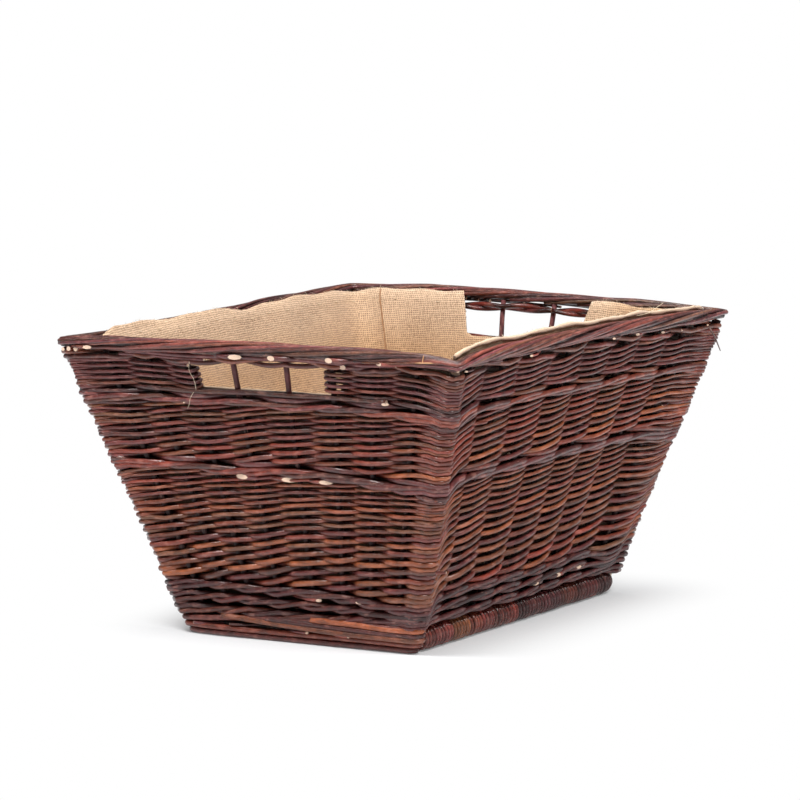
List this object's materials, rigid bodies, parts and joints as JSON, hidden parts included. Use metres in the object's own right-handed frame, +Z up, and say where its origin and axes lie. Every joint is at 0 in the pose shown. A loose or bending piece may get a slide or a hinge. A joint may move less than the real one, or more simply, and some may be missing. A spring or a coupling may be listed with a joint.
{
  "type": "wicker firewood basket",
  "caption": "Large rectangular tapered willow log basket with hand holes in both ends, a rolled rod border, bound foot skids and a stitched-in hessian liner.",
  "frame": {"origin": "on the floor under the middle of the basket", "axes": "+Z up, +Y along the longer side of the basket, +X across its ends towards the right-hand side wall; the hand holes face -Y and +Y"},
  "size_m": [0.509, 0.59, 0.3297],
  "materials": {
    "willow_wales": "dark unpeeled willow bark, satin",
    "willow_siding": "red-brown unpeeled willow bark, satin",
    "willow_stakes": "dark unpeeled willow bark, satin",
    "willow_binding": "thin red-brown willow rods, satin",
    "hessian": "coarse plain-woven jute, matt"
  },
  "bodies": {
    "root": {"right_stake_1": "willow_stakes", "right_stake_2": "willow_stakes", "right_stake_3": "willow_stakes", "right_stake_4": "willow_stakes", "right_stake_5": "willow_stakes", "right_stake_6": "willow_stakes", "right_stake_7": "willow_stakes", "right_stake_8": "willow_stakes", "back_stake_1": "willow_stakes", "back_stake_2": "willow_stakes", "back_stake_3": "willow_stakes", "back_stake_4": "willow_stakes", "back_stake_5": "willow_stakes", "back_stake_6": "willow_stakes", "back_stake_7": "willow_stakes", "back_stake_8": "willow_stakes", "left_stake_1": "willow_stakes", "left_stake_2": "willow_stakes", "left_stake_3": "willow_stakes", "left_stake_4": "willow_stakes", "left_stake_5": "willow_stakes", "left_stake_6": "willow_stakes", "left_stake_7": "willow_stakes", "left_stake_8": "willow_stakes", "front_stake_1": "willow_stakes", "front_stake_2": "willow_stakes", "front_stake_3": "willow_stakes", "front_stake_4": "willow_stakes", "front_stake_5": "willow_stakes", "front_stake_6": "willow_stakes", "front_stake_7": "willow_stakes", "front_stake_8": "willow_stakes", "back_right_post": "willow_stakes", "back_left_post": "willow_stakes", "front_left_post": "willow_stakes", "front_right_post": "willow_stakes", "lower_wale": "willow_wales", "middle_wale": "willow_wales", "handle_wale": "willow_wales", "lower_siding": "willow_siding", "upper_siding": "willow_siding", "right_hand_panel": "willow_siding", "left_hand_panel": "willow_siding", "bridge_rod_outer": "willow_siding", "bridge_rod_inner": "willow_wales", "border": "willow_wales", "base_weave": "willow_siding", "base_stick_1": "willow_stakes", "base_stick_2": "willow_stakes", "base_stick_3": "willow_stakes", "base_stick_4": "willow_stakes", "base_stick_5": "willow_stakes", "right_skid_binding": "willow_binding", "left_skid_binding": "willow_binding", "right_skid_stick": "willow_stakes", "left_skid_stick": "willow_stakes", "front_foot_rods": "willow_stakes", "back_foot_rods": "willow_stakes", "liner": "hessian"}
  },
  "joints": []
}
